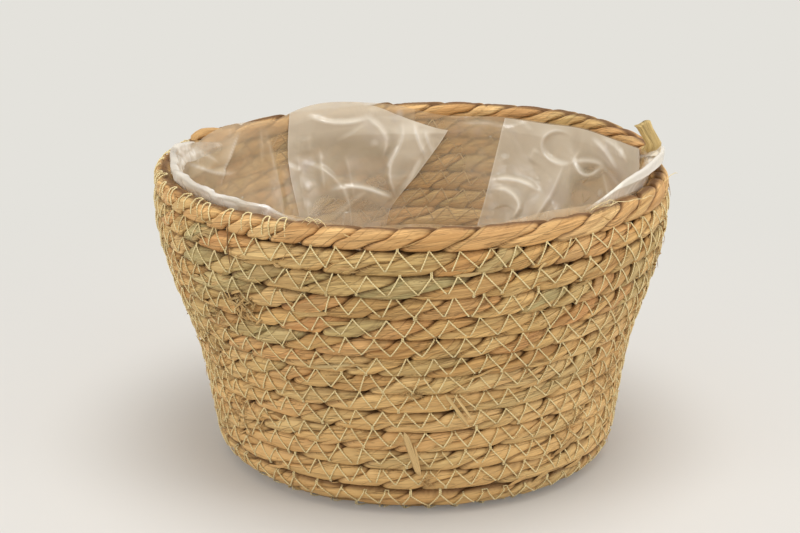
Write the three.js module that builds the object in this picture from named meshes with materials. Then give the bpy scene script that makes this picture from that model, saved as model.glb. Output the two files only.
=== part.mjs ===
// Round seagrass basket with a clear film liner.
// One long seagrass rope is coiled from the middle of the floor out to the heel and then up the
// flared wall. A zigzag thread sews each course to the next, and the last course ends in a short
// cut tail that stands up at the rim. A thin film bag lines the inside.
// Millimetres, +Z up, -Y to the front. The origin is on the resting plane, under the middle of
// the widest course. Azimuth 0 is the front, and it grows towards the right.

import * as THREE from "three";

// Rope: a flattened cord, measured along the fabric and through it.
const ROPE_HEIGHT = 9.75;
const ROPE_THICKNESS = 8.6;
const SEAM_GAP = 0.6;
const JOINT_GAP = 0.3;
const CORE_GAP = 1;

// The rope's centreline in section: a flat floor, a round heel, then the wall's stations.
const FLOOR_RADIUS = 85;
const HEEL_RADIUS = 11;
const HEEL_TURN_DEG = 79;
const WAIST_RADIUS = 103.6;
const WAIST_HEIGHT = 59.5;
const BELLY_RADIUS = 115.2;
const BELLY_HEIGHT = 95.5;
const SHOULDER_RADIUS = 121.2;
const SHOULDER_HEIGHT = 122.5;
const RIM_RADIUS = 120.7;
const RIM_HEIGHT = 147.3;

// How far this hand-made basket is out of true: its foot stands to the right of its rim, the rim
// is higher on the right, and the last courses are pulled level although the rope climbs.
const FOOT_SHIFT = 2.4;
const RIM_TILT = 1.5;
const RIM_LEVELLING = 3.3;

// The rope climbs towards the left, is thinned before its cut end and turns up there.
const END_AZIMUTH_DEG = 98;
const THINNING_DEG = 40;
const THINNED_HEIGHT = 5.5;
const TAIL_BEND_RADIUS = 6;
const TAIL_BEND_DEG = 80;
const TAIL_LENGTH = 10;
const TAIL_LEAN_DEG = 30;

// Sewing thread. The needle thread zigzags outside; the under thread lies inside the seam.
const THREAD_DIAMETER = 0.8;
const THREAD_GAP = 0.3;
const ZIGZAG_WIDTH = 9.3;

// Film bag, and the stretches where its edge stands above the rope.
const FILM_THICKNESS = 0.6;
const FILM_CLEARANCE = 0.6;
const FILM_TUCK = 3;
const FILM_CUFFS = [
  { azimuthDeg: -90, halfWidthDeg: 34, rise: 5 },
  { azimuthDeg: -52, halfWidthDeg: 36, rise: 1 },
  { azimuthDeg: 78, halfWidthDeg: 30, rise: 4 },
  { azimuthDeg: 200, halfWidthDeg: 30, rise: 7 },
];

// Facets. Each zigzag leg is one facet long, so every rope facet takes a whole number of legs.
const FACETS_PER_TURN = 24;
const LEGS_PER_FACET = 5;
const TAIL_BEND_FACETS = 3;
const FILM_RINGS = 12;

const TURN = 2 * Math.PI;
const PITCH = ROPE_HEIGHT + SEAM_GAP;
const CORE_RADIUS = ROPE_HEIGHT / 2 + CORE_GAP;
const FLOOR_LENGTH = FLOOR_RADIUS - CORE_RADIUS;
const rad = THREE.MathUtils.degToRad;

// Section through the rope's centres: x is the radius and y the height.
function sectionPath() {
  const floorHeight = ROPE_THICKNESS / 2;
  const heelTurn = rad(HEEL_TURN_DEG);
  const heelEnd = new THREE.Vector2(
    FLOOR_RADIUS + HEEL_RADIUS * Math.sin(heelTurn),
    floorHeight + HEEL_RADIUS * (1 - Math.cos(heelTurn)),
  );
  const floor = new THREE.LineCurve(
    new THREE.Vector2(CORE_RADIUS, floorHeight),
    new THREE.Vector2(FLOOR_RADIUS, floorHeight),
  );
  const heel = new THREE.EllipseCurve(
    FLOOR_RADIUS,
    floorHeight + HEEL_RADIUS,
    HEEL_RADIUS,
    HEEL_RADIUS,
    -Math.PI / 2,
    heelTurn - Math.PI / 2,
  );
  const wall = new THREE.SplineCurve([
    heelEnd,
    new THREE.Vector2(WAIST_RADIUS, WAIST_HEIGHT),
    new THREE.Vector2(BELLY_RADIUS, BELLY_HEIGHT),
    new THREE.Vector2(SHOULDER_RADIUS, SHOULDER_HEIGHT),
    new THREE.Vector2(RIM_RADIUS, RIM_HEIGHT),
  ]);
  const path = new THREE.CurvePath();
  path.curves.push(floor, heel, wall);
  return path;
}

const section = sectionPath();
const SECTION_LENGTH = section.getLength();
const TURNS = SECTION_LENGTH / PITCH;

// Carries a radius and a height to a point of the basket, out of true as it is.
function place(radius, height, azimuth) {
  const share = height / RIM_HEIGHT;
  const levelling = RIM_LEVELLING * share ** 3 * Math.sin(azimuth - rad(END_AZIMUTH_DEG));
  const tilt = RIM_TILT * share * Math.sin(azimuth);
  const shift = FOOT_SHIFT * (1 - height / SHOULDER_HEIGHT);
  return new THREE.Vector3(
    radius * Math.sin(azimuth) + shift,
    -radius * Math.cos(azimuth),
    height + tilt - levelling,
  );
}

// A point of the fabric: out along the section's normal and up along its tangent from a length
// along it. Past its top the section runs straight on, and the floor presses every point flat.
function fabricPoint(length, azimuth, out, up) {
  const within = Math.min(length, SECTION_LENGTH);
  const share = within / SECTION_LENGTH;
  const tangent = section.getTangent(share);
  const point = section.getPoint(share).addScaledVector(tangent, length - within + up);
  const radius = point.x + tangent.y * out;
  const height = point.y - tangent.x * out;
  return place(radius, Math.max(height, 0), azimuth);
}

// The section grows by one pitch in each turn of the rope.
const azimuthOf = (turn) => rad(END_AZIMUTH_DEG) + (TURNS - turn) * TURN;

// Turn counts between two limits, with a stop at every facet line between them.
function facetStops(from, to, facetsPerTurn) {
  const first = Math.floor((TURNS - to) * facetsPerTurn) + 1;
  const last = Math.ceil((TURNS - from) * facetsPerTurn) - 1;
  const stops = [to];
  for (let k = first; k <= last; k++) stops.push(TURNS - k / facetsPerTurn);
  stops.push(from);
  return stops.reverse();
}

// A closed body through rings that have the same number of points, with flat ends.
function loft(rings) {
  const sides = rings[0].length;
  const last = (rings.length - 1) * sides;
  const index = [];
  for (let start = 0; start < last; start += sides) {
    for (let k = 0; k < sides; k++) {
      const a = start + k;
      const b = start + ((k + 1) % sides);
      index.push(a, b, a + sides, b, b + sides, a + sides);
    }
  }
  for (let k = 1; k < sides - 1; k++) {
    index.push(0, k + 1, k);
    index.push(last, last + k, last + k + 1);
  }
  const geometry = new THREE.BufferGeometry().setFromPoints(rings.flat());
  geometry.setIndex(index);
  geometry.computeVertexNormals();
  return geometry;
}

// The rope's six corners, with its points to the neighbouring courses and flats in and out.
// A thinner rope keeps its lower edge where it was.
function ropeCorners(height) {
  const flat = ROPE_THICKNESS / 2;
  const middle = (height - ROPE_HEIGHT) / 2;
  return [
    [0, middle + height / 2],
    [-flat, middle + height / 4],
    [-flat, middle - height / 4],
    [0, middle - height / 2],
    [flat, middle - height / 4],
    [flat, middle + height / 4],
  ];
}

function ropeRings(from, to) {
  const thinningTurns = THINNING_DEG / 360;
  return facetStops(from, to, FACETS_PER_TURN).map((turn) => {
    const kept = Math.min((TURNS - turn) / thinningTurns, 1);
    const height = THREE.MathUtils.lerp(THINNED_HEIGHT, ROPE_HEIGHT, kept);
    return ropeCorners(height).map(([out, up]) =>
      fabricPoint(turn * PITCH, azimuthOf(turn), out, up),
    );
  });
}

// The free tail goes on from the thinned rope's end, round a bend and up, leaning over the opening.
function tailRings() {
  const azimuth = azimuthOf(TURNS);
  const outward = new THREE.Vector3(Math.sin(azimuth), -Math.cos(azimuth), 0);
  const onward = new THREE.Vector3(-Math.cos(azimuth), -Math.sin(azimuth), 0);
  const upward = new THREE.Vector3(0, 0, 1);
  const middle = (THINNED_HEIGHT - ROPE_HEIGHT) / 2;
  const ropeEnd = fabricPoint(SECTION_LENGTH, azimuth, 0, middle);
  const start = ropeEnd.addScaledVector(onward, JOINT_GAP);
  const ringAt = (angle, length, lean) => {
    const run = TAIL_BEND_RADIUS * Math.sin(angle) + length * Math.cos(angle);
    const climb = TAIL_BEND_RADIUS * (1 - Math.cos(angle)) + length * Math.sin(angle);
    const centre = start
      .clone()
      .addScaledVector(onward, run)
      .addScaledVector(upward, climb)
      .addScaledVector(outward, -lean);
    return ropeCorners(THINNED_HEIGHT).map(([out, up]) =>
      centre
        .clone()
        .addScaledVector(outward, out)
        .addScaledVector(onward, -(up - middle) * Math.sin(angle))
        .addScaledVector(upward, (up - middle) * Math.cos(angle)),
    );
  };
  const bend = rad(TAIL_BEND_DEG);
  const rings = [];
  for (let k = 0; k <= TAIL_BEND_FACETS; k++) {
    rings.push(ringAt((bend * k) / TAIL_BEND_FACETS, 0, 0));
  }
  rings.push(ringAt(bend, TAIL_LENGTH, TAIL_LENGTH * Math.tan(rad(TAIL_LEAN_DEG))));
  return rings;
}

// A thread's three corners, one of them outwards, stretched along the fabric where the thread
// runs at a slant.
function threadCorners(stretch) {
  return [0, 120, 240].map((deg) => [
    (THREAD_DIAMETER / 2) * Math.cos(rad(deg)),
    (THREAD_DIAMETER / 2) * Math.sin(rad(deg)) * stretch,
  ]);
}

// The needle thread: each leg crosses one course from seam to seam, just outside the rope.
function needleThreadRings(from, to) {
  const legsPerTurn = FACETS_PER_TURN * LEGS_PER_FACET;
  const seat = ROPE_THICKNESS / 2 + THREAD_GAP + THREAD_DIAMETER / 4;
  return facetStops(from, to, legsPerTurn).map((turn, k) => {
    const length = turn * PITCH;
    const radius = section.getPoint(length / SECTION_LENGTH).x;
    const run = (TURN * radius) / legsPerTurn;
    const stretch = Math.hypot(ZIGZAG_WIDTH, run) / run;
    const side = k % 2 ? ZIGZAG_WIDTH / 2 : -ZIGZAG_WIDTH / 2;
    return threadCorners(stretch).map(([out, up]) =>
      fabricPoint(length, azimuthOf(turn), seat + out, side + up),
    );
  });
}

// The under thread: it lies against both slopes of the valley between a course and the next.
function underThreadRings(from, to) {
  const slope = ROPE_HEIGHT / 4 / (ROPE_THICKNESS / 2);
  const reach = (THREAD_DIAMETER / 2 + THREAD_GAP) * Math.hypot(1, slope);
  const depth = (reach - SEAM_GAP / 2) / slope;
  return facetStops(from, to, FACETS_PER_TURN).map((turn) =>
    threadCorners(1).map(([out, up]) =>
      fabricPoint((turn + 0.5) * PITCH, azimuthOf(turn), -depth - out, -up),
    ),
  );
}

// Height of the film's edge over the top of the section, round the rim.
function filmRise(azimuth) {
  const rises = FILM_CUFFS.map(({ azimuthDeg, halfWidthDeg, rise }) => {
    const away = Math.acos(Math.cos(azimuth - rad(azimuthDeg)));
    const share = 1 - THREE.MathUtils.smoothstep(away, 0, rad(halfWidthDeg));
    return (rise + FILM_TUCK) * share;
  });
  return Math.max(...rises) - FILM_TUCK;
}

// The film bag: an outer skin from the floor's middle up to the edge, and an inner one back down.
function filmBag() {
  const outer = -(ROPE_THICKNESS / 2 + FILM_CLEARANCE);
  const inner = outer - FILM_THICKNESS;
  const floorRing = FLOOR_LENGTH - HEEL_RADIUS;
  const skin = (out) =>
    Array.from({ length: FILM_RINGS }, (_, r) =>
      Array.from({ length: FACETS_PER_TURN }, (_, k) => {
        const azimuth = rad(END_AZIMUTH_DEG) + (k * TURN) / FACETS_PER_TURN;
        const edge = SECTION_LENGTH + filmRise(azimuth);
        const length = THREE.MathUtils.lerp(floorRing, edge, r / (FILM_RINGS - 1));
        return fabricPoint(length, azimuth, out, 0);
      }),
    );
  const rings = [...skin(outer), ...skin(inner).reverse()];
  const points = rings.flat();
  const last = points.length - FACETS_PER_TURN;
  const outerPole = points.push(place(0, ROPE_THICKNESS / 2 - outer, 0)) - 1;
  const innerPole = points.push(place(0, ROPE_THICKNESS / 2 - inner, 0)) - 1;
  const index = [];
  for (let k = 0; k < FACETS_PER_TURN; k++) {
    const next = (k + 1) % FACETS_PER_TURN;
    index.push(outerPole, next, k);
    index.push(innerPole, last + k, last + next);
    for (let start = 0; start < last; start += FACETS_PER_TURN) {
      const a = start + k;
      const b = start + next;
      const c = a + FACETS_PER_TURN;
      const d = b + FACETS_PER_TURN;
      index.push(a, b, c, b, d, c);
    }
  }
  const geometry = new THREE.BufferGeometry().setFromPoints(points);
  geometry.setIndex(index);
  geometry.computeVertexNormals();
  return geometry;
}

// Least distance between each turn of a coil and the next, from the coil's points.
function leastGap(rings) {
  let least = Infinity;
  for (let k = 1; k + FACETS_PER_TURN < rings.length; k++) {
    for (const a of rings[k]) {
      for (const b of rings[k + FACETS_PER_TURN]) least = Math.min(least, a.distanceTo(b));
    }
  }
  return least;
}

const seagrass = new THREE.MeshStandardMaterial({ color: 0xc39a63, roughness: 0.75 });
const thread = new THREE.MeshStandardMaterial({ color: 0xe5c98c, roughness: 0.6 });
const film = new THREE.MeshStandardMaterial({
  color: 0xe6e4e0,
  roughness: 0.2,
  transparent: true,
  opacity: 0.35,
});

const basket = new THREE.Group();

function add(name, geometry, material) {
  const mesh = new THREE.Mesh(geometry, material);
  mesh.name = name;
  basket.add(mesh);
}

// The floor's coil stops on the facet line nearest to the heel, and the wall's goes on from it to
// the tail.
// The sewing starts a turn up the heel, clear of the resting plane, and stops a turn short of the
// rope's end, so the last course is left bare.
const wallTurns = Math.round((TURNS - FLOOR_LENGTH / PITCH) * FACETS_PER_TURN) / FACETS_PER_TURN;
const heelTurn = TURNS - wallTurns;
const jointTurn = JOINT_GAP / (TURN * FLOOR_RADIUS);
const sewnFrom = heelTurn + 1;
const sewnTo = TURNS - 1;
const floorRings = ropeRings(0, heelTurn);
const wallRings = ropeRings(heelTurn + jointTurn, TURNS);

add("floor_coil", loft(floorRings), seagrass);
add("wall_coil", loft(wallRings), seagrass);
add("rope_tail", loft(tailRings()), seagrass);
add("needle_thread", loft(needleThreadRings(sewnFrom, sewnTo)), thread);
add("under_thread", loft(underThreadRings(sewnFrom, sewnTo)), thread);
add("film_liner", filmBag(), film);

console.log("turns of rope:", TURNS.toFixed(2), "of which on the wall:", wallTurns.toFixed(2));
console.log("least gap between the floor's turns, mm:", leastGap(floorRings).toFixed(2));
console.log("least gap between the wall's turns, mm:", leastGap(wallRings).toFixed(2));

export default basket;
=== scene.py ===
import math

import bmesh
import bpy
import numpy as np
from mathutils import Matrix, Vector


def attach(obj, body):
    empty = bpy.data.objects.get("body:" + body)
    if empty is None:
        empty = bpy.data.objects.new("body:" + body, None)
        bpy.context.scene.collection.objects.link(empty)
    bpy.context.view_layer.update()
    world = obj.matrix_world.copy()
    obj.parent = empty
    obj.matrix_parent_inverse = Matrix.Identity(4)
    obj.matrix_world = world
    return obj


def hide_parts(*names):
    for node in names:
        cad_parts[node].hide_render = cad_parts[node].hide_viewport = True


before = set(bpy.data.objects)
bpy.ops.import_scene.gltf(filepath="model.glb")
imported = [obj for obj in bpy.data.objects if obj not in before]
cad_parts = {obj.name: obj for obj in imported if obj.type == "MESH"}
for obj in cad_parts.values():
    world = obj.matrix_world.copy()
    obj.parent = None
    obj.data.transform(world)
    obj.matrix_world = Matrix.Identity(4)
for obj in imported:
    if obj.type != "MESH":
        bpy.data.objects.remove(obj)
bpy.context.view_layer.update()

MM = 0.001
TURN = 2 * math.pi

# The camera
# A 90 mm lens on a 36 mm wide sensor, 0.95 m in front of the basket and 40 cm up, looking down
# by 18 degrees.
CAMERA_PLACE = (-0.0058, -0.953, 0.3998)
CAMERA_LOOKS_DOWN = 17.97
camera_data = bpy.data.cameras.new("camera")
camera_data.lens = 90
camera_data.sensor_width = 36
camera = bpy.data.objects.new("camera", camera_data)
camera.location = CAMERA_PLACE
camera.rotation_euler = (math.radians(90 - CAMERA_LOOKS_DOWN), 0, 0)
bpy.context.collection.objects.link(camera)
bpy.context.scene.camera = camera
bpy.context.scene.view_settings.view_transform = "Standard"

# The floor coil
# The middle of one long two-ply seagrass rope, twisted from dry leaves about 10 mm thick. It is
# wound flat from the centre outwards and sewn turn to turn, and the basket stands on it.
ROPE_HEIGHT = 9.75 * MM
ROPE_THICKNESS = 8.6 * MM
TURN_GAP = 0.6 * MM
PITCH = ROPE_HEIGHT + TURN_GAP
CENTRE_GAP = 1 * MM
CORE_RADIUS = ROPE_HEIGHT / 2 + CENTRE_GAP
FLOOR_RADIUS = 85 * MM
HEEL_RADIUS = 11 * MM
HEEL_TURN = math.radians(79)
# The middle of the rope on its way up the wall: radius and height in mm.
WALL_STATIONS = [(103.6, 59.5), (115.2, 95.5), (121.2, 122.5), (120.7, 147.3)]
SHOULDER_HEIGHT, RIM_HEIGHT = (WALL_STATIONS[k][1] * MM for k in (2, 3))
# The basket is out of true: its foot stands to the right, its rim slopes down to the left, and
# its last course is pulled nearly level.
FOOT_SHIFT = 2.4 * MM
RIM_TILT = 1.5 * MM
RIM_LEVELLING = 3.3 * MM
END_AZIMUTH = math.radians(98)
SEED = 11


def spline_point(p, t):
    """A point of the uniform Catmull-Rom curve from p[1] to p[2]."""
    a, b, c, d = (np.array(q) for q in p)
    v0, v1 = (c - a) / 2, (d - b) / 2
    return (2 * b - 2 * c + v0 + v1) * t**3 + (3 * c - 3 * b - 2 * v0 - v1) * t**2 + v0 * t + b


def section_table(samples=400):
    """Lengths, points and tangents of the line through the rope's centres, floor to rim."""
    floor_height = ROPE_THICKNESS / 2
    points = [(CORE_RADIUS, floor_height), (FLOOR_RADIUS, floor_height)]
    for k in range(1, samples // 4):
        angle = HEEL_TURN * k / (samples // 4)
        points.append((
            FLOOR_RADIUS + HEEL_RADIUS * math.sin(angle),
            floor_height + HEEL_RADIUS * (1 - math.cos(angle)),
        ))
    heel_end = (
        FLOOR_RADIUS + HEEL_RADIUS * math.sin(HEEL_TURN),
        floor_height + HEEL_RADIUS * (1 - math.cos(HEEL_TURN)),
    )
    wall = [heel_end] + [(r * MM, z * MM) for r, z in WALL_STATIONS]
    padded_wall = [wall[0]] + wall + [wall[-1]]
    for leg in range(len(wall) - 1):
        for k in range(samples):
            points.append(tuple(spline_point(padded_wall[leg:leg + 4], k / samples)))
    points.append(wall[-1])
    points = np.array(points)
    steps = np.linalg.norm(np.diff(points, axis=0), axis=1)
    lengths = np.concatenate([[0], np.cumsum(steps)])
    tangents = np.diff(points, axis=0) / steps[:, None]
    middles = (lengths[1:] + lengths[:-1]) / 2
    return lengths, points, middles, tangents


LENGTHS, POINTS, MIDDLES, TANGENTS = section_table()
SECTION_LENGTH = LENGTHS[-1]
TURNS = SECTION_LENGTH / PITCH


def fabric(length, azimuth, out, up):
    """Points at an offset from the section line: out from the basket and up along the fabric.
    An azimuth is 0 at the front of the basket and grows to the right."""
    within = np.clip(length, 0, SECTION_LENGTH)
    point = np.stack([np.interp(within, LENGTHS, POINTS[:, k]) for k in (0, 1)], -1)
    tangent = np.stack([np.interp(within, MIDDLES, TANGENTS[:, k]) for k in (0, 1)], -1)
    tangent /= np.linalg.norm(tangent, axis=-1, keepdims=True)
    point = point + tangent * (length - within + up)[..., None]
    radius = point[..., 0] + tangent[..., 1] * out
    height = point[..., 1] - tangent[..., 0] * out
    share = height / RIM_HEIGHT
    levelling = RIM_LEVELLING * share**3 * np.sin(azimuth - END_AZIMUTH)
    tilt = RIM_TILT * share * np.sin(azimuth)
    shift = FOOT_SHIFT * (1 - height / SHOULDER_HEIGHT)
    return np.stack([
        radius * np.sin(azimuth) + shift,
        -radius * np.cos(azimuth),
        height + tilt - levelling,
    ], -1)


def azimuth_of(turn):
    """The rope climbs towards the left, and its last turn ends at the cut tail."""
    return END_AZIMUTH + (TURNS - turn) * TURN


TURN_TABLE = np.linspace(0, TURNS, 6000)
ROPE_LENGTHS = np.concatenate([[0], np.cumsum(
    np.diff(TURN_TABLE) * TURN
    * np.interp((TURN_TABLE[1:] + TURN_TABLE[:-1]) / 2 * PITCH, LENGTHS, POINTS[:, 0])
)])


def rope_length(turn):
    """Length of rope from its start in the middle of the floor."""
    return np.interp(turn, TURN_TABLE, ROPE_LENGTHS)


def turn_at(length):
    """The turn of the spiral at a length of rope from its start."""
    return np.interp(length, ROPE_LENGTHS, TURN_TABLE)


def wander(x, step, seed):
    """A smooth random curve between -1 and 1 that takes a new value every step."""
    values = np.random.default_rng(SEED + seed).uniform(-1, 1, 4096)
    cell = np.floor(x / step).astype(int)
    t = x / step - cell
    t = t * t * (3 - 2 * t)
    return values[cell % 4096] * (1 - t) + values[(cell + 1) % 4096] * t


# The two plies make a full turn round each other in this much rope: less of it near the rim.
TWIST_AT_FOOT = 56 * MM
TWIST_AT_RIM = 35 * MM
TWIST_TIGHTENS_FROM = 10
TWIST_UNEVENNESS = 0.55
TWIST_TABLE = np.concatenate([[0], np.cumsum(
    TURN * np.diff(ROPE_LENGTHS)
    / np.interp(TURN_TABLE[1:], [TWIST_TIGHTENS_FROM, TURNS], [TWIST_AT_FOOT, TWIST_AT_RIM])
    * (1 + TWIST_UNEVENNESS * wander(ROPE_LENGTHS[1:], 31 * MM, 1))
)])
ROPE_STEP = 1.05 * MM
ROPE_SIDES = 34
HALF_HEIGHT = 5.45 * MM
HALF_THICKNESS = 4.3 * MM
FLOOR_HALF_THICKNESS = 4.2 * MM
SQUARENESS = 2.8
LENS_SHARE = 0.2
ROPE_WANDER = 0.3 * MM
THINNING_TURNS = 40 / 360
THINNED_SHARE = 0.55
# Each ply rises between two creases, higher on one side, and its leaves are folded and dented.
CREASE_DEPTH = 1.1 * MM
CREASE_VARIATION = 0.3 * MM
CREASE_WIDTH = 0.21
LOBE_RISE = 0.5 * MM
LOBE_SUNK = 0.2 * MM
LOBE_VARIATION = 0.25 * MM
LOBE_SLANT = 1.0 * MM
LEAF_FOLD_DEPTH = 0.4 * MM
PLY_SWAY = 0.25 * MM
SEAM_ROUGHNESS = 0.4 * MM
SEAM_SHADE_WIDTH = 0.13
# The leaves' fibres lean against the twist, and run much further along the rope than round it.
FIBRE_LEAN = 0.18
FIBRE_RATE = 7


def envelope(angle, half_height, half_thickness):
    """The squashed round of the rope's section: its reach at an angle up from straight out."""
    return (
        np.abs(np.cos(angle) / half_thickness) ** SQUARENESS
        + np.abs(np.sin(angle) / half_height) ** SQUARENESS
    ) ** (-1 / SQUARENESS)


def thinning(turn):
    """The rope's height as a share of its full height: it is thinned towards its cut end."""
    kept = np.clip((TURNS - turn) / THINNING_TURNS, 0, 1)
    return THINNED_SHARE + (1 - THINNED_SHARE) * kept * kept * (3 - 2 * kept)


def rope_surface(turn, angle, ply, half_height, half_thickness):
    """Reach of the rope at an angle round it on a ply, and the shade painted on it there.
    A ply's whole number counts its lobes along the rope, and its fraction runs across a lobe."""
    along = rope_length(turn)
    lobe = np.floor(ply + 1e-6)
    share = np.clip(ply - lobe, 0, 1)
    bulge = np.sin(math.pi * share)
    fullness = wander(lobe, 1.0, 5) * np.clip(1.6 + 1.6 * np.sin(angle), 0, 1)
    reach = envelope(angle, half_height * thinning(turn), half_thickness)

    # The lobe rises between two creases, and one of its sides is higher.
    crease_depth = CREASE_DEPTH + CREASE_VARIATION * fullness
    reach = reach - crease_depth * np.exp(-(bulge / CREASE_WIDTH) ** 2)
    reach = reach + LOBE_RISE * bulge - LOBE_SUNK + LOBE_VARIATION * fullness
    reach = reach + LOBE_SLANT * (share - 0.5) * np.exp(-(bulge / 0.8) ** 2)

    # Here and there a leaf's edge is folded in along the lobe, and the plies are uneven.
    fold = np.abs(share - (0.45 + 0.3 * wander(along, 17 * MM, 4)))
    folded = np.clip(2 * wander(along, 19 * MM, 8), 0, 1)
    reach = reach - LEAF_FOLD_DEPTH * np.exp(-(fold / 0.04) ** 2) * folded
    reach = reach + PLY_SWAY * wander(along, 11 * MM, 3) * np.cos(math.pi * ply)
    near_seam = np.abs(np.sin(angle)) ** 5
    own_side = along + np.where(np.sin(angle) > 0, 0, 1.7)
    reach = reach + SEAM_ROUGHNESS * near_seam * wander(own_side, 7 * MM, 12)

    # Shade is painted in the creases, in the folds and at the seams between the courses, with a soft
    # painted shade beside each crease.
    faint = 0.7 + 0.3 * wander(lobe + 0.3, 0.7, 13)
    painted_crease = faint * np.exp(-(bulge / (0.09 + 0.04 * fullness)) ** 2)
    painted_crease = np.maximum(painted_crease, 0.5 * folded * np.exp(-(fold / 0.03) ** 2))
    seam_shade = np.exp(-((1 - np.abs(np.sin(angle))) / SEAM_SHADE_WIDTH) ** 2)
    soft_shade = 0.1 * np.exp(-(bulge / 0.35) ** 2)
    return reach, np.clip(painted_crease + seam_shade + soft_shade, 0, 1)


def grid_mesh(name, columns, rows):
    """A flat grid from the operator, and the share of the way along and up of its points."""
    bm = bmesh.new()
    bmesh.ops.create_grid(bm, x_segments=columns, y_segments=rows, size=0.5)
    mesh = bpy.data.meshes.new(name)
    bm.to_mesh(mesh)
    bm.free()
    flat = np.empty(len(mesh.vertices) * 3)
    mesh.vertices.foreach_get("co", flat)
    flat = flat.reshape(-1, 3) + 0.5
    return mesh, flat[:, 0], flat[:, 1]


def set_points(mesh, points):
    """Moves a mesh's points to their places."""
    mesh.vertices.foreach_set("co", points.astype(np.float32).ravel())


def set_uv(mesh, u, v):
    """Lays a pattern on a mesh from two values at each face's corners or at each point."""
    if len(u) != len(mesh.loops):
        corners = np.empty(len(mesh.loops), dtype=int)
        mesh.loops.foreach_get("vertex_index", corners)
        u, v = u[corners], v[corners]
    layer = mesh.uv_layers.new(name="lay")
    layer.data.foreach_set("uv", np.stack([u, v], -1).astype(np.float32).ravel())


def set_level(mesh, name, values):
    """Gives each point a value that a material reads by name."""
    mesh.attributes.new(name, "FLOAT", "POINT").data.foreach_set("value", values.astype(np.float32))


def set_direction(mesh, name, vectors):
    """Gives each point a place in a pattern that a material reads by name."""
    layer = mesh.attributes.new(name, "FLOAT_VECTOR", "POINT")
    layer.data.foreach_set("vector", vectors.astype(np.float32).ravel())


def add_piece(mesh, material, slot, *nodes):
    """Makes a finished mesh a piece of the basket that stands for some CAD nodes."""
    mesh.polygons.foreach_set("use_smooth", np.ones(len(mesh.polygons), dtype=bool))
    mesh.materials.append(material)
    piece = bpy.data.objects.new(mesh.name, mesh)
    bpy.context.collection.objects.link(piece)
    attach(piece, "root")
    if nodes:
        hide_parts(*nodes)
    return piece


def weld(mesh, fill=True):
    """Joins a rolled grid along its meeting edges, closes its ends and turns its faces out."""
    bm = bmesh.new()
    bm.from_mesh(mesh)
    bmesh.ops.remove_doubles(bm, verts=[v for v in bm.verts if v.is_boundary], dist=1e-6)
    if fill:
        bmesh.ops.holes_fill(bm, edges=[e for e in bm.edges if e.is_boundary], sides=0)
    bmesh.ops.recalc_face_normals(bm, faces=bm.faces)
    bm.to_mesh(mesh)
    bm.free()


def srgb(*levels):
    """A colour as seen on screen, 0 to 255, in the linear values that a shader takes."""
    linear = [
        v / 12.92 if v <= 0.04045 else ((v + 0.055) / 1.055) ** 2.4
        for v in (level / 255 for level in levels)
    ]
    return (*linear, 1)


def new_material(name):
    """A material with its node tree and its shader."""
    material = bpy.data.materials.new(name)
    material.use_nodes = True
    tree = material.node_tree
    return material, tree, tree.nodes["Principled BSDF"]


def add_node(tree, kind, inputs=(), **settings):
    """A node with its settings, and its inputs by position or name: values or other sockets."""
    node = tree.nodes.new(kind)
    for key, value in settings.items():
        setattr(node, key, value)
    for key, value in dict(inputs).items():
        if isinstance(value, bpy.types.NodeSocket):
            tree.links.new(value, node.inputs[key])
        else:
            node.inputs[key].default_value = value
    return node


def math_node(tree, operation, a, b=0.0, c=0.0):
    """The outcome of a sum on values or other sockets."""
    return add_node(tree, "ShaderNodeMath", {0: a, 1: b, 2: c}, operation=operation).outputs[0]


def mix_colour(tree, factor, a, b, blend="MIX"):
    """Colour a with some of colour b laid over it."""
    inputs = {0: factor, 6: a, 7: b}
    return add_node(tree, "ShaderNodeMix", inputs, data_type="RGBA", blend_type=blend).outputs[2]


def ramp(tree, factor, stops, interpolation="LINEAR"):
    """A colour for each value, from stops of (value, colour)."""
    node = add_node(tree, "ShaderNodeValToRGB", {0: factor})
    node.color_ramp.interpolation = interpolation
    elements = node.color_ramp.elements
    while len(elements) < len(stops):
        elements.new(0.5)
    for element, (place, colour) in zip(elements, stops):
        element.position = place
        element.color = colour
    return node.outputs[0]


def grey(level):
    """A grey for a ramp: 0 is black and 1 white."""
    return (level, level, level, 1)


def between(tree, value, low, high):
    """Rises evenly from 0 at the value low to 1 at high, or falls where low is the larger."""
    stops = [(low, grey(0)), (high, grey(1))]
    return ramp(tree, value, sorted(stops))


def random_level(tree, *values):
    """A random number between 0 and 1 that stays the same for the same values."""
    inputs = dict(enumerate(values))
    place = add_node(tree, "ShaderNodeCombineXYZ", inputs).outputs[0]
    noise = add_node(tree, "ShaderNodeTexWhiteNoise", {"Vector": place}, noise_dimensions="3D")
    return noise.outputs[0]


EVEN_BELOW = 45 * MM
VARIED_ABOVE = 85 * MM
EVEN_STRAW = srgb(230, 188, 126)
LEAF_EDGE_BROWN = srgb(120, 84, 46)
SHADE_AND_DARK_LEAF_BROWN = srgb(90, 54, 20)
FIBRE_RELIEF = 0.7 * MM


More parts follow.
